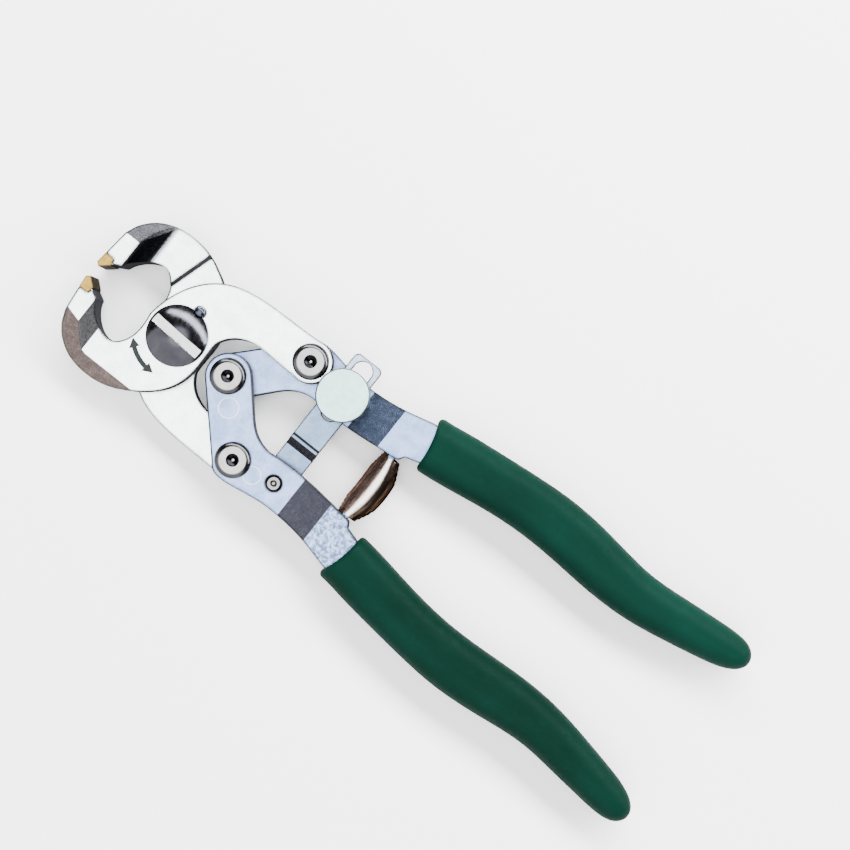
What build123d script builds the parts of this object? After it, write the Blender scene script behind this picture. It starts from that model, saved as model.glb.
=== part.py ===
"""Compound-lever mosaic glass nippers.

Two identical jaw forgings cross on one pivot bolt.  Two identical handle
plates meet at a toggle pivot and are linked to the jaw arms, so that a long
squeeze of the handles gives a short, strong bite at the carbide tips.

Frame: the origin is on the jaw pivot axis, on the table the tool lies on.
+Y points forward to the jaws, +X to the right handle, +Z up out of the table.
Every pivot axis is parallel to Z.  Millimetres throughout.
"""
from build123d import *
from math import cos, radians, sin, sqrt
import os

os.makedirs("parts", exist_ok=True)

LEFT = -1
RIGHT = 1

# Linkage
PIVOT_TO_LINK = 36.5        # jaw pivot to the link pivot at the end of a jaw arm
TOGGLE_TO_LINK = 22.5       # toggle pivot to the same link pivot, along a handle
ARM_ANGLE = 27.4            # each jaw arm's angle from the tool's centre line
LINK_X = PIVOT_TO_LINK * sin(radians(ARM_ANGLE))
LINK_Y = -PIVOT_TO_LINK * cos(radians(ARM_ANGLE))
TOGGLE_Y = LINK_Y + sqrt(TOGGLE_TO_LINK ** 2 - LINK_X ** 2)
STAY_X = 15.0               # stay pin on the left handle, lock stud on the right
STAY_Y = -44.8

# Thickness: everything is laid out either side of the middle plane
THICKNESS = 12.0
MIDDLE = THICKNESS / 2
LAP_GAP = 0.05              # middle plane to the inner face of a plate
PLATE_FACE = 4.0            # middle plane to the outer face of a plate
ROOT_FACE = 1.5             # how far a jaw's root reaches past the middle plane
LAP_DRAFT = 24.0            # slant of the shoulder between lap and root, in degrees

# Fasteners
BOLT_SHANK_R = 4.5
BOLT_HEAD_R = 8.4
BOLT_HEAD_H = 3.8
BOLT_RIM_H = 0.9
BOLT_SLOT_W = 2.6
BOLT_SLOT_TURN = -3.0       # where the slot happens to stand, from the centre line
LOCK_SCREW_R = 1.5
LOCK_SCREW_AT = (8.7, -0.9)
PIVOT_NUT_R = 7.0
LINK_SHANK_R = 3.0
LINK_HEAD_R = 4.95
LINK_FLAT_R = 3.6
LINK_HEAD_H = 2.0
LINK_RIM_H = 1.05
LINK_SOCKET_AF = 3.1
LINK_NUT_AF = 8.0
LINK_NUT_FOOT = 0.3         # the nuts stay clear of the table
RUNNING = 0.05              # radial clearance of a turning fit
OPEN_PIVOT = 0.30           # radial clearance where the linkage loop is left open

# Handles
HANDLE_END_R = 6.3
BEND_START_Y = -50.8
BEND_END_Y = -60.5
TANG_HALF_T = 2.0
TANG_END_Y = -167.0
MOUTH_R = 30.0              # the grips' mouths are hollowed by a wide arc
MOUTH_DIP = 1.25
NIB_Y = -65.2
NIB_W = 2.3
NIB_H = 3.0

# Stay and its lock
STAY_W = 8.9
STAY_T = 1.5
STAY_LOW_Z = 4.4
STAY_HIGH_Z = MIDDLE + LAP_GAP
STAY_END_X = 26.8
SLOT_W = 5.4
SLOT_START_X = 9.7
SLOT_END_X = 23.3
STAY_PIN_R = 2.1
LOCK_STUD_R = 2.5
KNOB_R = 7.3
KNOB_HUB_R = 4.0
KNOB_FACE_Z = 13.2
KNOB_DISC_T = 3.0

# Spring
SPRING_HALF_L = 9.8
SPRING_END_R = 2.55
SPRING_BELLY_R = 4.6
SPRING_STEPS = 5
SPRING_WALL = 0.55


def sided(side, points):
    """Outline points given for the right-hand side, placed on one side."""
    return [(side * x, y) for x, y in points]


def layer(side, low, high):
    """Lower z and height of a slab measured upwards from the middle plane.

    The left jaw and left handle lie uppermost; the right ones are the same
    pieces turned over, so their slabs are measured downwards instead.
    """
    if side == LEFT:
        return MIDDLE + low, high - low
    return MIDDLE - high, high - low


def save(piece, name):
    piece.part.label = name
    export_step(piece.part, "parts/" + name + ".step")


# ---------------------------------------------------------------- jaws

CARBIDE_OUTLINE = [(2.4, 28.8), (5.7, 28.5), (5.7, 25.7), (3.8, 25.3), (1.6, 27.8)]


def make_jaw(side):
    """A jaw: hooked head on its own side, arm crossing to the other side."""
    throat = [(0, 9.5), (4.5, 9.1), (9.2, 10.3), (12.1, 13.6), (11.3, 17.4), (5.5, 22.8)]
    nose = [(5.5, 22.8), (2.6, 28.3), (6.5, 28.4), (13, 27.7), (15.6, 26.9)]
    back = [(15.6, 26.9), (19.6, 24.2), (22.2, 20.2), (23.4, 14.6), (23, 9), (20.6, 2.8)]
    under = [(20.6, 2.8), (17.0, -2.8), (11.4, -7.6), (5.4, -9.4), (0, -9.5), (-4.6, -9.5)]
    crook = [(-4.6, -9.5), (-8.1, -11.8), (-10.7, -16.2), (-11.25, -21.5), (-11.05, -30.7)]
    arm = [(-22.65, -31.1), (-22.3, -22.4), (-21.6, -10), (-19.8, -3.2), (-15.6, 2.8),
           (-9.6, 6.9), (0, 9.5)]
    lap_edge = [(5, 11.35), (30, 3.9), (30, -45), (-30, -45), (-30, 12), (5, 12)]

    with BuildPart() as jaw:
        with BuildSketch(Plane.XY):
            with BuildLine():
                Spline(*sided(side, throat))
                Polyline(*sided(side, nose))
                Spline(*sided(side, back))
                Spline(*sided(side, under))
                Spline(*sided(side, crook))
                ThreePointArc(*sided(side, [crook[-1], (-LINK_X, LINK_Y - 6.0), arm[0]]))
                Spline(*sided(side, arm))
            make_face()
        extrude(amount=THICKNESS)

        # Side profile: full-thickness nose, ramp on the outer face, cove on the root face
        flip = 1 if side == RIGHT else -1
        outer = MIDDLE - flip * PLATE_FACE
        root = MIDDLE + flip * ROOT_FACE
        base = MIDDLE - flip * MIDDLE
        top = MIDDLE + flip * MIDDLE
        with BuildSketch(Plane.YZ.offset(-40)):
            with BuildLine():
                Polyline((-50, root), (-50, outer), (17.8, outer), (23, base), (32, base),
                         (32, top), (23, top))
                ThreePointArc((23, top), (19.8, MIDDLE + flip * 2.6), (15.8, root))
                Line((15.8, root), (-50, root))
            make_face()
        extrude(amount=80, mode=Mode.INTERSECT)

        # The lap and the arm keep only this jaw's own layer, up to a drafted shoulder
        lap = Plane(origin=(0, 0, MIDDLE - side * LAP_GAP), x_dir=(side, 0, 0), z_dir=(0, 0, side))
        with BuildSketch(lap):
            with BuildLine():
                Polyline(*lap_edge, close=True)
            make_face()
        extrude(amount=THICKNESS, taper=-LAP_DRAFT, mode=Mode.SUBTRACT)

        # Forged bevels: along the back and across the shoulder on the outer face,
        # and on the nose corner of the root face
        bevels = [
            (-flip, (19.1, 8.0, PLATE_FACE), (0.5, 0, 0.866)),
            (-flip, (13.0, 23.2, MIDDLE), (0.418, 0.111, 0.902)),
            (flip, (13.3, 25.0, MIDDLE), (0.395, 0, 0.919)),
        ]
        for face, at, normal in bevels:
            corner = (side * at[0], at[1], MIDDLE + face * at[2])
            facing = (side * normal[0], normal[1], face * normal[2])
            with BuildSketch(Plane(origin=corner, x_dir=(0, 1, 0), z_dir=facing)):
                Rectangle(120, 120)
            extrude(amount=30, mode=Mode.SUBTRACT)

        # Carbide seat, pivot bore and link bore
        with BuildSketch(Plane.XY):
            with BuildLine():
                Polyline(*sided(side, CARBIDE_OUTLINE), close=True)
            make_face()
            Circle(BOLT_SHANK_R + (RUNNING if side == RIGHT else 0))
            with Locations((-side * LINK_X, LINK_Y)):
                Circle(LINK_SHANK_R + (OPEN_PIVOT if side == RIGHT else 0))
        extrude(amount=THICKNESS, mode=Mode.SUBTRACT)

        # Tapped hole beside the bolt head for its lock screw, in the upper jaw only
        if side == LEFT:
            with BuildSketch(Plane.XY.offset(MIDDLE + 1)):
                with Locations(LOCK_SCREW_AT):
                    Circle(LOCK_SCREW_R)
            extrude(amount=THICKNESS, mode=Mode.SUBTRACT)
    return jaw


def make_carbide_tip(side):
    """Carbide insert brazed into the inner corner of a jaw's nose."""
    with BuildPart() as tip:
        with BuildSketch(Plane.XY):
            with BuildLine():
                Polyline(*sided(side, CARBIDE_OUTLINE), close=True)
            make_face()
        extrude(amount=THICKNESS)
    return tip


# ---------------------------------------------------------------- handles

def make_handle(side):
    """A handle plate: round toggle end, link corner, joggle, spring nib and tang."""
    run = TOGGLE_TO_LINK
    along = (LINK_X / run, (LINK_Y - TOGGLE_Y) / run)
    across = (-along[1] * HANDLE_END_R, along[0] * HANDLE_END_R)
    outer_start = (across[0], TOGGLE_Y + across[1])
    end_point = (-along[0] * HANDLE_END_R, TOGGLE_Y - along[1] * HANDLE_END_R)
    inner_start = (-across[0], TOGGLE_Y - across[1])
    inner_turn = (inner_start[0] + along[0] * 11.7, inner_start[1] + along[1] * 11.7)
    outer_turn = (LINK_X + across[0] * 0.92, LINK_Y + across[1] * 0.92)

    inner = [(9.2, -39.2), (8.8, -50.5), (9.8, -60.5), (10.6, -67.1)]
    tang = [(10.6, -67.1), (12.3, -68.1), (13.3, -71.6), (16.2, -78), (17.4, -92), (18.9, -110),
            (18.2, -132), (20.2, -150), (22.6, TANG_END_Y), (27.2, TANG_END_Y), (26.4, -150),
            (25.6, -132), (27.8, -110), (26.2, -92), (25.4, -78), (24.4, -68.6), (23.3, -64.4)]
    outer = [(23.3, -64.4), (21.3, -53), (21.2, -45.5), (22.3, -38), (22.9, -33.4),
             (22.6, -30.4), outer_turn]

    with BuildPart() as handle:
        with BuildSketch(Plane.XY):
            with BuildLine():
                ThreePointArc(*sided(side, [outer_start, end_point, inner_start]))
                Line(*sided(side, [inner_start, inner_turn]))
                Spline(*sided(side, [inner_turn, (8.0, -34.2), inner[0]]),
                       tangents=[(side * along[0], along[1]), (0, -1)])
                Spline(*sided(side, inner))
                Polyline(*sided(side, tang))
                Spline(*sided(side, outer))
                Line(*sided(side, [outer_turn, outer_start]))
            make_face()
        extrude(amount=THICKNESS)

        # Side profile: the plate's own layer in front, joggled to mid-thickness behind
        face_z, _ = layer(side, PLATE_FACE, PLATE_FACE)
        lap_z, _ = layer(side, LAP_GAP, LAP_GAP)
        sign = 1 if side == LEFT else -1
        tang_face = MIDDLE + sign * TANG_HALF_T
        tang_back = MIDDLE - sign * TANG_HALF_T
        with BuildSketch(Plane.YZ.offset(-40)):
            with BuildLine():
                Polyline((0, face_z), (BEND_START_Y, face_z), (BEND_END_Y, tang_face),
                         (-180, tang_face), (-180, tang_back), (BEND_END_Y, tang_back),
                         (BEND_START_Y, lap_z), (0, lap_z), close=True)
            make_face()
        extrude(amount=80, mode=Mode.INTERSECT)

        # Nib that holds one end of the spring
        with BuildSketch(Plane.XY.offset(MIDDLE - NIB_H / 2)):
            with Locations((side * 9.3, NIB_Y)):
                Rectangle(4.0, NIB_W)
        extrude(amount=NIB_H)

        # Toggle, link and stay bores: the screw is tight in the piece it belongs to
        toggle_r = LINK_SHANK_R + (RUNNING if side == LEFT else 0)
        link_r = LINK_SHANK_R + (RUNNING if side == RIGHT else 0)
        stay_r = STAY_PIN_R if side == LEFT else LOCK_STUD_R
        with BuildSketch(Plane.XY):
            with Locations((0, TOGGLE_Y)):
                Circle(toggle_r)
            with Locations((side * LINK_X, LINK_Y)):
                Circle(link_r)
            with Locations((side * STAY_X, STAY_Y)):
                Circle(stay_r)
        extrude(amount=THICKNESS, mode=Mode.SUBTRACT)
        if side == LEFT:
            with Locations((-STAY_X, STAY_Y, MIDDLE + PLATE_FACE - 0.1)):
                Cone(STAY_PIN_R, STAY_PIN_R + 0.4, 0.4, mode=Mode.SUBTRACT)
    return handle


def make_grip(side, handle):
    """Moulded sleeve round the tang: full palm swell, waist and rounded end."""
    # centre x, centre y, width, thickness, lean of the section outwards in degrees
    stations = [
        (19.2, -70.1, 15.9, 11.7, 13),
        (20.2, -79.0, 15.8, 11.8, 9),
        (21.5, -88.0, 15.5, 11.8, 6),
        (22.9, -100.0, 15.3, 11.8, 4),
        (23.4, -112.0, 15.7, 11.8, 0),
        (22.8, -122.5, 15.6, 11.8, -4),
        (22.0, -132.0, 14.8, 11.8, -3),
        (21.9, -141.5, 13.7, 11.8, 3),
        (23.2, -152.5, 12.7, 11.5, 8),
        (24.8, -163.0, 11.5, 10.8, 9),
        (25.8, -169.2, 10.1, 9.6, 8),
        (26.4, -173.0, 7.4, 7.2, 7),
        (26.6, -174.8, 4.0, 3.8, 7),
        (26.7, -175.3, 1.6, 1.5, 7),
    ]
    with BuildPart() as grip:
        for x, y, width, thick, lean in stations:
            toward = (side * sin(radians(lean)), -cos(radians(lean)), 0)
            level = (cos(radians(lean)), side * sin(radians(lean)), 0)
            with BuildSketch(Plane(origin=(side * x, y, MIDDLE), x_dir=level, z_dir=toward)):
                RectangleRounded(width, thick, 0.46 * min(width, thick))
        loft()
        # Hollowed mouth, its rim rounded
        x, y, _, _, lean = stations[0]
        reach = MOUTH_R - MOUTH_DIP
        with BuildSketch(Plane.XY):
            with Locations((side * (x - reach * sin(radians(lean))), y + reach * cos(radians(lean)))):
                Circle(MOUTH_R)
        extrude(amount=THICKNESS, mode=Mode.SUBTRACT)
        mouth = grip.faces().sort_by(Axis.Y)[-1]
        fillet(mouth.edges(), radius=1.3)
        add(handle.part, mode=Mode.SUBTRACT)
    return grip


# ---------------------------------------------------------------- fasteners

def make_pivot_bolt():
    """Slotted dome-headed bolt that both jaws turn on."""
    head_z = MIDDLE + PLATE_FACE + LAP_GAP
    with BuildPart() as bolt:
        with BuildSketch(Plane.XZ):
            with BuildLine():
                Polyline((0, head_z + BOLT_HEAD_H), (0, 0), (BOLT_SHANK_R, 0),
                         (BOLT_SHANK_R, head_z), (BOLT_HEAD_R, head_z),
                         (BOLT_HEAD_R, head_z + BOLT_RIM_H))
                ThreePointArc((BOLT_HEAD_R, head_z + BOLT_RIM_H),
                              (BOLT_HEAD_R * 0.62, head_z + BOLT_HEAD_H - 0.95),
                              (0, head_z + BOLT_HEAD_H))
            make_face()
        revolve(axis=Axis.Z)
        with BuildSketch(Plane.XY.offset(head_z + BOLT_HEAD_H - 2.4)):
            Rectangle(BOLT_SLOT_W, 3 * BOLT_HEAD_R, rotation=BOLT_SLOT_TURN)
        extrude(amount=5, mode=Mode.SUBTRACT)
        # Half-round notch in the rim for the lock screw
        with BuildSketch(Plane.XY.offset(head_z)):
            with Locations(LOCK_SCREW_AT):
                Circle(LOCK_SCREW_R + RUNNING)
        extrude(amount=5, mode=Mode.SUBTRACT)
    return bolt


def make_pivot_nut():
    """Round nut under the lower jaw; the tool stands on its face."""
    with BuildPart() as nut:
        with BuildSketch(Plane.XY):
            Circle(PIVOT_NUT_R)
            Circle(BOLT_SHANK_R, mode=Mode.SUBTRACT)
        extrude(amount=MIDDLE - PLATE_FACE - LAP_GAP)
        chamfer(nut.edges().filter_by(GeomType.CIRCLE).sort_by(Axis.Z)[0:1], length=0.4)
        # Two spanner notches
        with BuildSketch(Plane.XY):
            with PolarLocations(PIVOT_NUT_R, 2):
                Rectangle(2.4, 2.0)
        extrude(amount=THICKNESS / 2, mode=Mode.SUBTRACT)
    return nut


def make_lock_screw():
    """Small round-headed screw that stops the pivot bolt from turning."""
    seat_z = MIDDLE + PLATE_FACE
    with BuildPart() as screw:
        with BuildSketch(Plane.XY.offset(MIDDLE + 1)):
            with Locations(LOCK_SCREW_AT):
                Circle(LOCK_SCREW_R)
        extrude(amount=seat_z + 1.6 - MIDDLE - 1)
        fillet(screw.edges().sort_by(Axis.Z)[-1], radius=1.1)
    return screw


def make_link_screw(x, y):
    """Low round-headed screw with a hexagon socket."""
    head_z = MIDDLE + PLATE_FACE + LAP_GAP
    with BuildPart() as screw:
        with BuildSketch(Plane(origin=(x, y, 0), x_dir=(1, 0, 0), z_dir=(0, -1, 0))):
            with BuildLine():
                Polyline((0, head_z + LINK_HEAD_H), (0, 0.5), (LINK_SHANK_R, 0.5),
                         (LINK_SHANK_R, head_z), (LINK_HEAD_R, head_z),
                         (LINK_HEAD_R, head_z + LINK_RIM_H))
                ThreePointArc((LINK_HEAD_R, head_z + LINK_RIM_H),
                              (LINK_HEAD_R - 0.42, head_z + LINK_RIM_H + 0.52),
                              (LINK_FLAT_R, head_z + LINK_HEAD_H))
                Line((LINK_FLAT_R, head_z + LINK_HEAD_H), (0, head_z + LINK_HEAD_H))
            make_face()
        revolve(axis=Axis((x, y, 0), (0, 0, 1)))
        with BuildSketch(Plane.XY.offset(head_z + LINK_HEAD_H - 1.2)):
            with Locations((x, y)):
                RegularPolygon(LINK_SOCKET_AF / 2, 6, major_radius=False)
        extrude(amount=3, mode=Mode.SUBTRACT)
        # Drill point below the socket
        with Locations((x, y, head_z + LINK_HEAD_H - 1.55)):
            Cone(0.35, LINK_SOCKET_AF / 2, 0.7, mode=Mode.SUBTRACT)
    return screw


def make_link_nut(x, y):
    """Hexagon nut under the lower plate."""
    with BuildPart() as nut:
        with BuildSketch(Plane.XY.offset(LINK_NUT_FOOT)):
            with Locations((x, y)):
                RegularPolygon(LINK_NUT_AF / 2, 6, major_radius=False)
                Circle(LINK_SHANK_R, mode=Mode.SUBTRACT)
        extrude(amount=MIDDLE - PLATE_FACE - LAP_GAP - LINK_NUT_FOOT)
    return nut


# ---------------------------------------------------------------- stay and lock

def make_stay():
    """Slotted strip that joins the handles and limits how far they open."""
    rise = STAY_HIGH_Z - STAY_LOW_Z
    bends = [(-30, 0), (-4.4, 0), (-2.2, rise * 0.70), (-1.5, rise * 0.77), (-0.8, rise), (40, rise)]
    with BuildPart() as stay:
        with BuildSketch(Plane.XY):
            with BuildLine():
                ThreePointArc((-STAY_X, STAY_Y + STAY_W / 2), (-STAY_X - STAY_W / 2, STAY_Y),
                              (-STAY_X, STAY_Y - STAY_W / 2))
                Polyline((-STAY_X, STAY_Y - STAY_W / 2), (STAY_END_X, STAY_Y - STAY_W / 2),
                         (STAY_END_X, STAY_Y + STAY_W / 2), (-STAY_X, STAY_Y + STAY_W / 2))
            face = make_face()
            fillet(face.vertices().sort_by(Axis.X)[-2:], radius=1.6)
        extrude(amount=THICKNESS)
        with BuildSketch(Plane.XZ.offset(-STAY_Y - 10)):
            with BuildLine():
                Polyline(*[(x, STAY_LOW_Z + z) for x, z in bends],
                         *[(x, STAY_LOW_Z + STAY_T + z) for x, z in reversed(bends)], close=True)
            make_face()
        extrude(amount=20, mode=Mode.INTERSECT)
        with BuildSketch(Plane.XY):
            with Locations(((SLOT_START_X + SLOT_END_X) / 2, STAY_Y)):
                SlotCenterToCenter(SLOT_END_X - SLOT_START_X, SLOT_W)
            with Locations((-STAY_X, STAY_Y)):
                Circle(STAY_PIN_R + RUNNING)
        extrude(amount=THICKNESS, mode=Mode.SUBTRACT)
    return stay


def make_stay_pin():
    """Rivet that hangs the stay under the left handle, flush on top."""
    collar_r = 3.2
    with BuildPart() as pin:
        with BuildSketch(Plane.XY.offset(STAY_LOW_Z - 1.25)):
            with Locations((-STAY_X, STAY_Y)):
                Circle(collar_r)
        extrude(amount=1.2)
        with BuildSketch(Plane.XY.offset(STAY_LOW_Z - 0.05)):
            with Locations((-STAY_X, STAY_Y)):
                Circle(STAY_PIN_R)
        extrude(amount=MIDDLE + PLATE_FACE + 0.15 - STAY_LOW_Z + 0.05)
        chamfer(pin.edges().sort_by(Axis.Z)[-1], length=0.4)
        # Dimple left by the riveting punch
        with Locations((-STAY_X, STAY_Y, MIDDLE + PLATE_FACE)):
            Cone(0.4, 1.1, 0.6, mode=Mode.SUBTRACT)
    return pin


def make_lock_stud():
    """Threaded stud fixed in the right handle; it runs in the stay's slot."""
    with BuildPart() as stud:
        with BuildSketch(Plane.XY.offset(MIDDLE - PLATE_FACE)):
            with Locations((STAY_X, STAY_Y)):
                Circle(LOCK_STUD_R)
        extrude(amount=9.6 - MIDDLE + PLATE_FACE)
        chamfer(stud.edges().sort_by(Axis.Z)[-1], length=0.4)
    return stud


def make_lock_washer():
    """Plain washer between the stay and the knob."""
    with BuildPart() as washer:
        with BuildSketch(Plane.XY.offset(STAY_HIGH_Z + STAY_T + 0.02)):
            with Locations((STAY_X, STAY_Y)):
                Circle(5.0)
                Circle(LOCK_STUD_R + RUNNING, mode=Mode.SUBTRACT)
        extrude(amount=0.5)
    return washer


def make_lock_knob():
    """Flat round knob with a blind threaded hub; tightened, it clamps the stay."""
    hub_z = STAY_HIGH_Z + STAY_T + 0.55
    disc_z = KNOB_FACE_Z - KNOB_DISC_T
    with BuildPart() as knob:
        with BuildSketch(Plane.XY.offset(hub_z)):
            with Locations((STAY_X, STAY_Y)):
                Circle(KNOB_HUB_R)
        extrude(amount=disc_z - hub_z)
        with BuildSketch(Plane.XY.offset(disc_z)):
            with Locations((STAY_X, STAY_Y)):
                Circle(KNOB_R)
        extrude(amount=KNOB_DISC_T)
        rims = knob.edges().filter_by(GeomType.CIRCLE).filter_by(lambda e: e.radius > KNOB_HUB_R + 1)
        chamfer(rims, length=0.35)
        with BuildSketch(Plane.XY.offset(hub_z)):
            with Locations((STAY_X, STAY_Y)):
                Circle(LOCK_STUD_R + RUNNING)
        extrude(amount=9.7 - hub_z, mode=Mode.SUBTRACT)
    return knob


# ---------------------------------------------------------------- spring

def make_spring():
    """Double volute spring: telescoping turns that swell from each end to a belly."""
    step_l = SPRING_HALF_L / SPRING_STEPS
    rise = (SPRING_BELLY_R - SPRING_END_R) / (SPRING_STEPS - 1)
    outside = []
    for i in range(SPRING_STEPS):
        radius = SPRING_END_R + i * rise
        outside.append((-SPRING_HALF_L + i * step_l, radius))
        outside.append((-SPRING_HALF_L + (i + 1) * step_l, radius))
    outside.extend([(-x, r) for x, r in reversed(outside[:-1])])
    inside = [(x, r - SPRING_WALL) for x, r in reversed(outside)]
    with BuildPart() as spring:
        with BuildSketch(Plane(origin=(0, NIB_Y, MIDDLE), x_dir=(1, 0, 0), z_dir=(0, -1, 0))):
            with BuildLine():
                Polyline(*outside, *inside, close=True)
            make_face()
        revolve(axis=Axis((0, NIB_Y, MIDDLE), (1, 0, 0)))
    return spring


# ---------------------------------------------------------------- assembly

left_handle = make_handle(LEFT)
right_handle = make_handle(RIGHT)

save(make_jaw(LEFT), "left_jaw")
save(make_jaw(RIGHT), "right_jaw")
save(make_carbide_tip(LEFT), "left_carbide_tip")
save(make_carbide_tip(RIGHT), "right_carbide_tip")
save(left_handle, "left_handle")
save(right_handle, "right_handle")
save(make_grip(LEFT, left_handle), "left_grip")
save(make_grip(RIGHT, right_handle), "right_grip")
save(make_pivot_bolt(), "pivot_bolt")
save(make_pivot_nut(), "pivot_nut")
save(make_lock_screw(), "pivot_lock_screw")
save(make_link_screw(0, TOGGLE_Y), "toggle_screw")
save(make_link_nut(0, TOGGLE_Y), "toggle_nut")
save(make_link_screw(-LINK_X, LINK_Y), "left_link_screw")
save(make_link_nut(-LINK_X, LINK_Y), "left_link_nut")
save(make_link_screw(LINK_X, LINK_Y), "right_link_screw")
save(make_link_nut(LINK_X, LINK_Y), "right_link_nut")
save(make_stay(), "stay")
save(make_stay_pin(), "stay_pin")
save(make_lock_stud(), "lock_stud")
save(make_lock_washer(), "lock_washer")
save(make_lock_knob(), "lock_knob")
save(make_spring(), "spring")
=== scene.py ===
import math

import bpy
from mathutils import Matrix, Vector


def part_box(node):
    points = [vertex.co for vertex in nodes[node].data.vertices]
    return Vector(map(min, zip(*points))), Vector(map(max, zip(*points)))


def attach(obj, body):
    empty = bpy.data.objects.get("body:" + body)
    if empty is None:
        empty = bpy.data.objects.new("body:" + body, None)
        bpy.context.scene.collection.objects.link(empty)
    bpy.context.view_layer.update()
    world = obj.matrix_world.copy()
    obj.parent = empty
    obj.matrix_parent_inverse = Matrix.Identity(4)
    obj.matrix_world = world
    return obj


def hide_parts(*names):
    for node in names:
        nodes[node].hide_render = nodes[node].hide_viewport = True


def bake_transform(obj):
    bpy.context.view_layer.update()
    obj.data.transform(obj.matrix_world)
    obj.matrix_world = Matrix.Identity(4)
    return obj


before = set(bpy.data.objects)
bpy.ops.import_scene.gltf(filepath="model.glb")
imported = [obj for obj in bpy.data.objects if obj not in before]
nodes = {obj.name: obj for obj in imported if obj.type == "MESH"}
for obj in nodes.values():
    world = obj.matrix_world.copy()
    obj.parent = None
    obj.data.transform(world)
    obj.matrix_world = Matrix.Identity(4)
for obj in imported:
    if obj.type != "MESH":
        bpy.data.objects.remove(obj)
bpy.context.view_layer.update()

# ---------------------------------------------------------------- facts of the tool, in metres
MM = 0.001
PLATE_TOP_Z = 10.0 * MM                       # upper face of the left jaw and the left handle
JOGGLE_END_Y = -60.5 * MM                     # where the handles are straight again, behind the joggle
VIEW_RIGHT = Vector((0.621, -0.784, 0.0))     # the camera's right, in the tool's frame
VIEW_UP = Vector((0.784, 0.621, 0.0))         # the camera's up

# lights and camera
TABLE_HALF = 3.0
TABLE_DROP = 0.05 * MM
SKY_STRENGTH = 7.5
SKY = ((0.19, 0.006), (0.35, 0.016), (0.80, 0.020), (0.92, 0.045), (0.962, 1.0))   # height, tone
SKY_LOW = (0.09, 0.17)
SKY_TOP = (0.972, 1.0)
CAMERA_AIM = Vector((22.5, -66.9, 10.0)) * MM
CAMERA_HEIGHT = 0.481
CAMERA_LENS = 76.0


# ---------------------------------------------------------------- material helpers
class Shader:
    """A material under construction: adds nodes and joins them. Noise scales are per metre."""

    def __init__(self, name):
        self.material = bpy.data.materials.new(name)
        self.material.use_nodes = True
        self.tree = self.material.node_tree
        self.bsdf = self.tree.nodes["Principled BSDF"]
        self.coords = self.add("ShaderNodeTexCoord").outputs["Object"]

    def add(self, kind, **settings):
        made = self.tree.nodes.new(kind)
        for key, value in settings.items():
            setattr(made, key, value)
        return made

    def put(self, value, socket):
        if isinstance(value, bpy.types.NodeSocket):
            self.tree.links.new(value, socket)
        else:
            socket.default_value = value

    def stretch(self, scale):
        mapping = self.add("ShaderNodeMapping")
        self.put(self.coords, mapping.inputs["Vector"])
        mapping.inputs["Scale"].default_value = scale
        return mapping.outputs[0]

    def noise(self, scale, detail=3.0, rough=0.5, where=None):
        made = self.add("ShaderNodeTexNoise")
        self.put(self.coords if where is None else where, made.inputs["Vector"])
        made.inputs["Scale"].default_value = scale
        made.inputs["Detail"].default_value = detail
        made.inputs["Roughness"].default_value = rough
        return made.outputs["Fac"]

    def spread(self, value, low, high, to_low=0.0, to_high=1.0):
        made = self.add("ShaderNodeMapRange")
        self.put(value, made.inputs["Value"])
        limits = ("From Min", "From Max", "To Min", "To Max")
        for name, number in zip(limits, (low, high, to_low, to_high)):
            made.inputs[name].default_value = number
        return made.outputs["Result"]

    def maths(self, operation, a, b=0.0):
        made = self.add("ShaderNodeMath", operation=operation)
        self.put(a, made.inputs[0])
        self.put(b, made.inputs[1])
        return made.outputs[0]

    def mix(self, factor, a, b):
        made = self.add("ShaderNodeMix", data_type="RGBA")
        self.put(factor, made.inputs[0])
        self.put(a, made.inputs[6])
        self.put(b, made.inputs[7])
        return made.outputs[2]

    def bump(self, height, distance, strength=1.0, under=None):
        made = self.add("ShaderNodeBump")
        made.inputs["Strength"].default_value = strength
        made.inputs["Distance"].default_value = distance
        self.put(height, made.inputs["Height"])
        if under is not None:
            self.put(under, made.inputs["Normal"])
        return made.outputs[0]

    def axes(self, vector):
        split = self.add("ShaderNodeSeparateXYZ")
        self.put(vector, split.inputs[0])
        return split.outputs

    def soft_edges(self, radius):
        made = self.add("ShaderNodeBevel", samples=8)
        made.inputs["Radius"].default_value = radius
        return made.outputs[0]

    def rim(self, width):
        """1 along the edges of a face, where a normal rounded that widely leaves the face's own."""
        made = self.add("ShaderNodeVectorMath", operation="DOT_PRODUCT")
        self.put(self.soft_edges(width), made.inputs[0])
        self.put(self.add("ShaderNodeNewGeometry").outputs["Normal"], made.inputs[1])
        return self.spread(made.outputs["Value"], 0.92, 0.978, 1.0, 0.0)

    def beyond(self, lean, offset):
        """1 where y + lean * x passes offset, with a short soft border."""
        border = 0.1 * MM
        where = self.axes(self.coords)
        along = self.maths("ADD", where["Y"], self.maths("MULTIPLY", where["X"], lean))
        return self.spread(along, offset - border, offset + border)

    def slope(self):
        """1 on faces that lie flat, 0 on upright ones."""
        facing = self.axes(self.add("ShaderNodeNewGeometry").outputs["True Normal"])
        return self.maths("ABSOLUTE", facing["Z"])


def rgb(r, g, b):
    return (r, g, b, 1.0)


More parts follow.
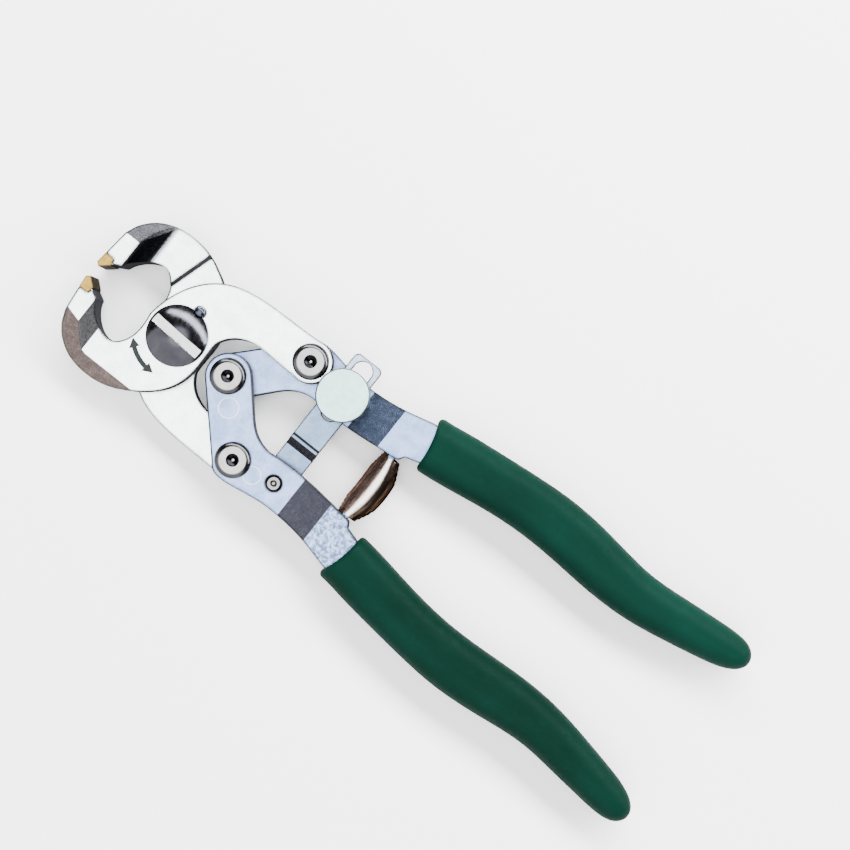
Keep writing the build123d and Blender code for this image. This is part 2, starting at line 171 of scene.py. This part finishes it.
def plated_steel(name, light, dark, rough, raw, wall_shade, rim=1.5 * MM, steep=(0.93, 0.985), blotch=150.0,
                 sparkle=0.8, ground=None, tail_y=None, bright_x=None):
    """Satin plated steel: cloudy tint on the flats, rougher `raw` colour on sloped faces, painted
    shade in the `wall_shade` colour on upright ones and, darker still, along every edge, all with a
    fine grain.
    `steep` says between which slopes a face turns from flat to raw, 1 being level. `ground` is a
    colour and two lines: the slopes between the lines are smoother and take that colour. Behind
    `tail_y` the plating is spangled; beyond `bright_x` it is polished."""
    s = Shader(name)
    cloud = s.spread(s.noise(blotch, 6.0, 0.72), 0.38, 0.62)
    grain = s.noise(1500.0, 5.0, 0.65)
    speckle = s.spread(s.noise(2600.0, 4.0, 0.75), 0.42, 0.66)
    mottle = s.spread(s.noise(520.0, 4.0, 0.7), 0.38, 0.66)
    slope = s.slope()
    sloped = s.spread(slope, *steep, 1.0, 0.0)
    upright = s.spread(slope, 0.30, 0.60, 1.0, 0.0)
    raw_colour = s.mix(s.maths("MULTIPLY", speckle, mottle), rgb(*[c * 0.75 for c in raw]),
                       rgb(*[c * (1.1 + 1.25 * sparkle) for c in raw]))
    if ground:
        shade, inner, outer = ground
        smooth = s.maths("SUBTRACT", s.beyond(*inner), s.beyond(*outer))
        smooth = s.maths("MAXIMUM", smooth, 0.0)
        ground_colour = s.mix(mottle, rgb(*shade), rgb(*[c * 1.5 for c in shade]))
        raw_colour = s.mix(smooth, raw_colour, ground_colour)
        speckle = s.maths("MULTIPLY", speckle, s.spread(smooth, 0.0, 1.0, 1.0, 0.15))
    # painted shade: upright faces take the dark wall colour, flecked with speckle
    shaded_wall_colour = s.mix(speckle, rgb(*wall_shade), rgb(*[c * 1.9 for c in wall_shade]))
    rounded = s.soft_edges(rim * 0.35)
    flat_colour = s.mix(cloud, rgb(*light), rgb(*dark))
    if tail_y is not None:
        spangle = s.spread(s.noise(900.0, 5.0, 0.8), 0.44, 0.57)
        spangled = s.mix(spangle, rgb(*[c * 0.28 for c in dark]), rgb(*[c * 1.15 for c in light]))
        tail = s.maths("MULTIPLY", s.maths("SUBTRACT", 1.0, s.beyond(0.0, tail_y)), 0.85)
        flat_colour = s.mix(tail, flat_colour, spangled)
    if bright_x is not None:
        polished = s.spread(s.axes(s.coords)["X"], bright_x, bright_x + 5.0 * MM)
        bright = s.mix(cloud, rgb(0.31, 0.37, 0.45), rgb(0.23, 0.29, 0.37))
        flat_colour = s.mix(polished, flat_colour, bright)
    colour = s.mix(sloped, flat_colour, raw_colour)
    # painted shade: a dark line along every edge, made from the wall colour
    colour = s.mix(s.rim(rim), colour, rgb(*[c * 0.4 for c in wall_shade]))
    colour = s.mix(upright, colour, shaded_wall_colour)
    roughness = s.spread(grain, 0.3, 0.7, rough - 0.05, rough + 0.08)
    roughness = s.maths("ADD", roughness, s.maths("MULTIPLY", upright, 0.25))
    normal = s.bump(s.maths("MULTIPLY", speckle, sloped), 0.06 * MM, sparkle, rounded)
    s.put(colour, s.bsdf.inputs["Base Color"])
    s.put(roughness, s.bsdf.inputs["Roughness"])
    # upright faces also lose metallic sheen and specular tint, as part of their painted shade
    s.put(s.spread(upright, 0.0, 1.0, 1.0, 0.2), s.bsdf.inputs["Metallic"])
    s.put(s.mix(upright, rgb(1, 1, 1), rgb(0.1, 0.1, 0.1)), s.bsdf.inputs["Specular Tint"])
    s.bsdf.inputs["Specular IOR Level"].default_value = 0.0
    s.put(s.bump(grain, 0.02 * MM, 0.22, normal), s.bsdf.inputs["Normal"])
    return s.material


def turned_steel(name, tint, flank_shade, rough, centre, socket=0.0, steep=(0.955, 0.992), edge=0.3 * MM):
    """Bright turned steel with faint concentric tool marks about an upright axis through `centre`,
    painted shade and dark reflection in the `flank_shade` colour on sloped faces, and painted shade
    inside an upward socket of the given radius."""
    rings_per_metre = 26000.0
    drill_point, drill_point_end = 0.45 * MM, 0.75 * MM
    s = Shader(name)
    shift = s.add("ShaderNodeVectorMath", operation="SUBTRACT")
    s.put(s.coords, shift.inputs[0])
    shift.inputs[1].default_value = centre
    where = s.axes(shift.outputs[0])
    square = s.maths("ADD", s.maths("POWER", where["X"], 2.0), s.maths("POWER", where["Y"], 2.0))
    radius = s.maths("SQRT", square)
    wave = s.maths("SINE", s.maths("MULTIPLY", radius, rings_per_metre))
    patchy = s.maths("MULTIPLY", wave, s.noise(420.0, 3.0, 0.6))
    cloud = s.spread(s.noise(300.0, 4.0, 0.6), 0.35, 0.65)
    colour = s.mix(cloud, rgb(*tint), rgb(*[c * 0.82 for c in tint]))
    # painted shade and dark reflection: sloped faces take the darker flank colour
    side = s.spread(s.slope(), *steep, 1.0, 0.0)
    colour = s.mix(side, colour, s.mix(cloud, rgb(*flank_shade), rgb(*[c * 0.7 for c in flank_shade])))
    if socket:
        # painted shade inside the socket, with its centre left bright
        socket_shade = s.spread(radius, socket * 0.97, socket * 1.03, 1.0, 0.0)
        socket_shade = s.maths("MULTIPLY", socket_shade, s.spread(where["Z"], 0.0, 0.1 * MM))
        heart = s.spread(radius, drill_point, drill_point_end)
        colour = s.mix(s.maths("MULTIPLY", socket_shade, heart), colour, rgb(0.006, 0.006, 0.007))
    s.put(colour, s.bsdf.inputs["Base Color"])
    s.put(s.spread(s.noise(900.0), 0.3, 0.7, rough - 0.04, rough + 0.06), s.bsdf.inputs["Roughness"])
    s.bsdf.inputs["Metallic"].default_value = 1.0
    normal = s.bump(patchy, 0.008 * MM, 0.2, s.soft_edges(edge))
    s.put(s.bump(s.noise(2400.0), 0.006 * MM, 0.25, normal), s.bsdf.inputs["Normal"])
    return s.material


def grip_plastic(name):
    """Dark green satin PVC: slow swirls of tone, leathery grain, small scuffs."""
    s = Shader(name)
    swirl = s.spread(s.noise(38.0, 4.0, 0.6, s.stretch((1.0, 0.45, 1.0))), 0.36, 0.68)
    scuff = s.spread(s.noise(260.0, 6.0, 0.7), 0.55, 0.8)
    colour = s.mix(swirl, rgb(0.0002, 0.0088, 0.0052), rgb(0.0004, 0.0148, 0.0096))
    colour = s.mix(s.maths("MULTIPLY", scuff, 0.30), colour, rgb(0.0012, 0.0225, 0.0150))
    s.put(colour, s.bsdf.inputs["Base Color"])
    s.put(s.spread(s.noise(700.0, 4.0), 0.3, 0.7, 0.48, 0.62), s.bsdf.inputs["Roughness"])
    s.bsdf.inputs["Specular IOR Level"].default_value = 0.025
    pores = s.noise(1900.0, 4.0, 0.6)
    waves = s.noise(120.0, 2.0, 0.5)
    normal = s.bump(waves, 0.4 * MM, 0.25)
    s.put(s.bump(pores, 0.06 * MM, 0.3, normal), s.bsdf.inputs["Normal"])
    return s.material


def carbide(name):
    """Ground carbide with its golden braze colour, with painted shade down its sides and along its
    edges.
    """
    s = Shader(name)
    cloud = s.spread(s.noise(700.0, 4.0, 0.7), 0.35, 0.65)
    upright = s.spread(s.slope(), 0.12, 0.5, 1.0, 0.0)
    face = s.mix(cloud, rgb(0.34, 0.225, 0.052), rgb(0.24, 0.15, 0.028))
    rounded = s.soft_edges(0.3 * MM)
    # painted shade on the upright sides and along every edge
    side = s.maths("MAXIMUM", upright, s.maths("MULTIPLY", s.rim(0.8 * MM), 0.8))
    s.put(s.mix(side, face, rgb(0.035, 0.024, 0.010)), s.bsdf.inputs["Base Color"])
    s.put(s.spread(s.noise(1400.0), 0.3, 0.7, 0.34, 0.5), s.bsdf.inputs["Roughness"])
    s.bsdf.inputs["Metallic"].default_value = 0.9
    s.bsdf.inputs["Specular IOR Level"].default_value = 0.2
    # upright sides get a dark specular tint, as part of their painted shade
    s.put(s.mix(upright, rgb(1, 1, 1), rgb(0.15, 0.12, 0.08)), s.bsdf.inputs["Specular Tint"])
    s.put(s.bump(s.noise(3000.0, 4.0), 0.04 * MM, 0.5, rounded), s.bsdf.inputs["Normal"])
    return s.material


def rolled_strip(name, ridge_y):
    """Rolled spring strip, bronzed and oily, its brown partly a painted reflection of a brown
    surround;
    a painted highlight along its crown; painted shade with fine drawn lines on the side below
    `ridge_y`."""
    s = Shader(name)
    lines = s.noise(1500.0, 4.0, 0.7, s.stretch((0.10, 1.0, 1.0)))
    stain = s.spread(s.noise(240.0, 4.0, 0.6), 0.38, 0.64)
    # brown tone, partly a painted reflection of a brown surround, varied at random
    tint = s.mix(stain, rgb(0.19, 0.125, 0.105), rgb(0.12, 0.08, 0.065))
    # painted shade: below ridge_y the strip is dark, with fine drawn lines
    lined_side_shade = s.mix(s.spread(lines, 0.46, 0.58), rgb(0.055, 0.038, 0.028), rgb(0.012, 0.009, 0.007))
    tint = s.mix(s.beyond(0.0, ridge_y), lined_side_shade, tint)
    # painted highlight on the upward-facing crown
    crown = s.spread(s.slope(), 0.955, 0.985)
    crown_highlight = s.mix(s.spread(lines, 0.60, 0.68), rgb(0.62, 0.58, 0.54), rgb(0.2, 0.15, 0.12))
    tint = s.mix(crown, tint, crown_highlight)
    s.put(tint, s.bsdf.inputs["Base Color"])
    s.put(s.spread(lines, 0.3, 0.7, 0.17, 0.34), s.bsdf.inputs["Roughness"])
    s.bsdf.inputs["Metallic"].default_value = 1.0
    s.bsdf.inputs["Specular Tint"].default_value = rgb(0.16, 0.13, 0.11)
    s.put(s.bump(lines, 0.04 * MM, 0.5), s.bsdf.inputs["Normal"])
    return s.material


def stamped_ink(name, fresh, bare):
    """Marking filled into the plate, worn through here and there."""
    s = Shader(name)
    worn = s.spread(s.noise(1300.0, 4.0, 0.7), 0.55, 0.75)
    s.put(s.mix(worn, rgb(*fresh), rgb(*bare)), s.bsdf.inputs["Base Color"])
    s.put(s.spread(worn, 0.0, 1.0, 0.6, 0.45), s.bsdf.inputs["Roughness"])
    s.bsdf.inputs["Specular IOR Level"].default_value = 0.08
    return s.material


def pale_table(name):
    s = Shader(name)
    tone = s.mix(s.noise(6.0, 2.0), rgb(0.84, 0.84, 0.84), rgb(0.87, 0.87, 0.87))
    s.put(tone, s.bsdf.inputs["Base Color"])
    s.bsdf.inputs["Roughness"].default_value = 0.7
    return s.material


# ---------------------------------------------------------------- mesh helpers
def mesh_object(name, verts, faces, material, smooth=True):
    mesh = bpy.data.meshes.new(name)
    mesh.from_pydata([tuple(v) for v in verts], [], faces)
    mesh.validate()
    mesh.materials.append(material)
    for polygon in mesh.polygons:
        polygon.use_smooth = smooth
    piece = bpy.data.objects.new(name, mesh)
    bpy.context.scene.collection.objects.link(piece)
    return piece


def node_centre(name):
    low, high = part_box(name)
    return (low + high) / 2


# ---------------------------------------------------------------- CAD nodes' finishes
# The wall colours passed to plated_steel below are painted shade for upright faces and edges.
JAW_LIGHT, JAW_DARK, JAW_WALL_SHADE = (0.92, 0.965, 0.96), (0.71, 0.81, 0.812), (0.022, 0.022, 0.025)
LEFT_RAMP = ((0.026, 0.024, 0.027), (0.0, 17.4 * MM), (-0.925, 35.4 * MM))
# the right jaw's cove is painted near-black: a painted dark reflection on its ground face
RIGHT_COVE = ((0.0050, 0.0053, 0.0066), (0.0, 15.4 * MM), (0.557, 30.7 * MM))
left_jaw_steel = plated_steel("left_jaw_steel", JAW_LIGHT, JAW_DARK, 0.26, (0.072, 0.055, 0.051),
                              JAW_WALL_SHADE, ground=LEFT_RAMP)
right_jaw_steel = plated_steel("right_jaw_steel", JAW_LIGHT, JAW_DARK, 0.26, (0.036, 0.037, 0.041),
                               JAW_WALL_SHADE, ground=RIGHT_COVE)
HANDLE_STEEP = (0.986, 0.994)
HANDLE_LIGHT, HANDLE_DARK = (0.235, 0.315, 0.50), (0.155, 0.22, 0.375)
HANDLE_WALL_SHADE = (0.034, 0.034, 0.041)
left_handle_steel = plated_steel("left_handle_steel", HANDLE_LIGHT, HANDLE_DARK, 0.30,
                                 (0.040, 0.041, 0.053), HANDLE_WALL_SHADE, steep=HANDLE_STEEP, blotch=230.0,
                                 sparkle=0.25, tail_y=JOGGLE_END_Y)
right_handle_steel = plated_steel("right_handle_steel", HANDLE_LIGHT, HANDLE_DARK, 0.30,
                                  (0.022, 0.029, 0.047), HANDLE_WALL_SHADE, steep=HANDLE_STEEP, blotch=230.0)
stay_steel = plated_steel("stay_steel", (0.14, 0.20, 0.29), (0.10, 0.155, 0.235), 0.26,
                          (0.018, 0.018, 0.021), HANDLE_WALL_SHADE, rim=1.0 * MM, steep=(0.930, 0.955),
                          blotch=260.0, bright_x=16.0 * MM)
nut_steel = plated_steel("nut_steel", (0.22, 0.225, 0.235), (0.15, 0.155, 0.165), 0.25,
                         (0.09, 0.09, 0.10), (0.03, 0.03, 0.035), rim=0.7 * MM)
tip_carbide = carbide("tip_carbide")
grip_green = grip_plastic("grip_green")

finishes = {
    "left_jaw": left_jaw_steel, "right_jaw": right_jaw_steel,
    "left_carbide_tip": tip_carbide, "right_carbide_tip": tip_carbide,
    "left_handle": left_handle_steel, "right_handle": right_handle_steel,
    "left_grip": grip_green, "right_grip": grip_green,
    "stay": stay_steel,
    "pivot_nut": nut_steel, "toggle_nut": nut_steel, "left_link_nut": nut_steel,
    "right_link_nut": nut_steel, "lock_washer": nut_steel, "lock_stud": nut_steel,
}
# the flank colours here and in the table below are painted shade and dark reflection for sloped faces
SCREW, SCREW_FLANK_SHADE = (0.275, 0.275, 0.278), (0.045, 0.045, 0.048)
LOCK_SCREW, KNOB = (0.04, 0.045, 0.06), (0.42, 0.60, 0.59)
SOCKET_RADIUS = 1.8 * MM
turned = {   # tint, flank, roughness, socket radius, steep
    "pivot_bolt": ((0.40, 0.40, 0.405), (0.040, 0.040, 0.047), 0.165, 0.0, (0.9985, 0.9998)),
    "pivot_lock_screw": (LOCK_SCREW, LOCK_SCREW, 0.16),
    "toggle_screw": (SCREW, SCREW_FLANK_SHADE, 0.20, SOCKET_RADIUS),
    "left_link_screw": (SCREW, SCREW_FLANK_SHADE, 0.20, SOCKET_RADIUS),
    "right_link_screw": (SCREW, SCREW_FLANK_SHADE, 0.20, SOCKET_RADIUS),
    "stay_pin": ((0.20, 0.20, 0.202), (0.03, 0.03, 0.03), 0.20),
    "lock_knob": (KNOB, (0.09, 0.12, 0.12), 0.32),
}
for name, (tint, flank_shade, rough, *rest) in turned.items():
    finishes[name] = turned_steel(name + "_steel", tint, flank_shade, rough, node_centre(name), *rest)
for name, material in finishes.items():
    nodes[name].material_slots[0].material = material


# ---------------------------------------------------------------- return spring
def volute_spring():
    """Double volute: one long strip, widest inside, rolled so that each turn peeps out past the last.
    The strip is cupped by `cup` toward its ends and bowed by `bow` toward the grips."""
    low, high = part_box("spring")
    past_barrel = 0.8 * MM
    half = (high.x - low.x) / 2 + past_barrel
    centre = (low + high) / 2
    belly = (high.z - low.z) / 2
    turns, steps, across, start_turn, taper = 5.0, 96, 14, 0.9, 0.85
    thick, cup, bow = 0.20 * MM, 0.75 * MM, 1.3 * MM
    outer_half, core, ridge_shift = 0.40 * half, 3.30 * MM, 1.0 * MM
    count = int(turns * steps)
    verts, faces = [], []
    for i in range(count + 1):
        t = i / count
        reach = outer_half + (half - outer_half) * t ** taper
        radius = belly - (belly - core) * t
        angle = 2 * math.pi * turns * t + start_turn
        for j in range(2 * across + 2):
            k = j if j <= across else 2 * across + 1 - j
            x = reach * (2 * k / across - 1)
            r = radius - cup * (x / half) ** 2 - (thick if j > across else 0.0)
            shift = -bow * (1 - (x / half) ** 2)
            across_roll = Vector((x, shift + r * math.cos(angle), r * math.sin(angle)))
            verts.append(centre + across_roll)
    ring = 2 * across + 2
    for i in range(count):
        a, b = i * ring, (i + 1) * ring
        for j in range(ring):
            n = (j + 1) % ring
            faces.append((a + j, b + j, b + n, a + n))
    faces.append(tuple(range(ring)))
    faces.append(tuple(range(count * ring + ring - 1, count * ring - 1, -1)))
    steel = rolled_strip("rolled_strip", centre.y - ridge_shift)
    spring = mesh_object("return_spring", verts, faces, steel)
    spring.data.set_sharp_from_angle(angle=math.radians(40))
    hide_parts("spring")
    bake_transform(spring)


volute_spring()


# ---------------------------------------------------------------- motion mark on the left jaw
def motion_mark():
    """Curved double-headed arrow about the jaw pivot, filled level with the plate."""
    radius, half_shaft, wing = 11.9 * MM, 0.66 * MM, 1.5 * MM
    top, bottom = PLATE_TOP_Z + 0.012 * MM, PLATE_TOP_Z - 0.05 * MM
    start, end, head = math.radians(130), math.radians(185.2), math.radians(13)
    steps = 16
    bends = [start + head + (end - start - 2 * head) * i / steps for i in range(steps + 1)]
    outline = [(radius, start), (radius + wing, start + head)]
    outline += [(radius + half_shaft, a) for a in bends]
    outline += [(radius + wing, end - head), (radius, end), (radius - wing, end - head)]
    outline += [(radius - half_shaft, a) for a in reversed(bends)]
    outline += [(radius - wing, start + head)]
    count = len(outline)
    verts = [(r * math.cos(a), r * math.sin(a), z) for z in (top, bottom) for r, a in outline]
    faces = [tuple(range(count)), tuple(reversed(range(count, 2 * count)))]
    faces += [(i, i + count, (i + 1) % count + count, (i + 1) % count) for i in range(count)]
    ink = stamped_ink("arrow_ink", (0.010, 0.0125, 0.0125), (0.035, 0.041, 0.041))
    mark = mesh_object("motion_mark", verts, faces, ink, smooth=False)
    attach(mark, "left_jaw")


motion_mark()


# ---------------------------------------------------------------- inspection rings on the left handle
def inspection_ring(name, centre, radius, ink):
    """Faint plain ring struck into the plate."""
    half_line, segments = 0.11 * MM, 56
    top, bottom = PLATE_TOP_Z + 0.010 * MM, PLATE_TOP_Z - 0.05 * MM
    inner, outer = radius - half_line, radius + half_line
    section = [(inner, top), (outer, top), (outer, bottom), (inner, bottom)]
    verts, faces = [], []
    for i in range(segments):
        a = 2 * math.pi * i / segments
        verts += [(centre[0] + r * math.cos(a), centre[1] + r * math.sin(a), z) for r, z in section]
        here, there = 4 * i, 4 * ((i + 1) % segments)
        for j in range(4):
            k = (j + 1) % 4
            faces.append((here + j, here + k, there + k, there + j))
    ring = mesh_object(name, verts, faces, ink, smooth=False)
    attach(ring, "left_handle")


ring_ink = stamped_ink("ring_ink", (0.50, 0.56, 0.64), (0.30, 0.35, 0.43))
inspection_ring("upper_ring", (-6.6 * MM, -22.8 * MM), 2.75 * MM, ring_ink)
inspection_ring("lower_ring", (-16.9 * MM, -38.9 * MM), 2.4 * MM, ring_ink)


# ---------------------------------------------------------------- table, light, camera
def make_stage():
    corners = [(x * TABLE_HALF, y * TABLE_HALF, 0) for x, y in ((-1, -1), (1, -1), (1, 1), (-1, 1))]
    table = mesh_object("table", corners, [(0, 1, 2, 3)], pale_table("pale_table"), smooth=False)
    table.location.z = -TABLE_DROP

    world = bpy.data.worlds.new("soft_room")
    bpy.context.scene.world = world
    world.use_nodes = True
    tree = world.node_tree
    direction = tree.nodes.new("ShaderNodeTexCoord")
    split = tree.nodes.new("ShaderNodeSeparateXYZ")
    ramp = tree.nodes.new("ShaderNodeValToRGB")
    tree.links.new(direction.outputs["Generated"], split.inputs[0])
    tree.links.new(split.outputs["Z"], ramp.inputs[0])
    for element, (height, tone) in zip(ramp.color_ramp.elements, (SKY_LOW, SKY_TOP)):
        element.position = height
        element.color = rgb(tone, tone, tone)
    for height, tone in SKY:
        ramp.color_ramp.elements.new(height).color = rgb(tone, tone, tone * 1.04)
    tree.links.new(ramp.outputs[0], tree.nodes["Background"].inputs["Color"])
    tree.nodes["Background"].inputs["Strength"].default_value = SKY_STRENGTH


def strip_light(name, at, toward, length, width, power):
    data = bpy.data.lights.new(name, "AREA")
    data.shape = "RECTANGLE"
    data.size = length
    data.size_y = width
    data.energy = power
    light = bpy.data.objects.new(name, data)
    light.location = at
    light.rotation_euler = (Vector(toward) - Vector(at)).to_track_quat("-Z", "Y").to_euler()
    bpy.context.scene.collection.objects.link(light)


def make_camera():
    data = bpy.data.cameras.new("camera")
    data.lens = CAMERA_LENS
    camera = bpy.data.objects.new("camera", data)
    back = Vector((0, 0, 1))
    turn = Matrix((VIEW_RIGHT.normalized(), VIEW_UP.normalized(), back)).transposed()
    camera.matrix_world = Matrix.Translation(CAMERA_AIM + back * CAMERA_HEIGHT) @ turn.to_4x4()
    bpy.context.scene.collection.objects.link(camera)
    bpy.context.scene.camera = camera


make_stage()
middle = Vector((0.0, -0.07, 0.0))
strip_light("key", middle + Vector((0.62, 0.0, 0.55)), middle, 2.6, 0.24, 82.0)
strip_light("fill", middle + Vector((-0.62, 0.0, 0.55)), middle, 2.6, 1.10, 42.0)
make_camera()
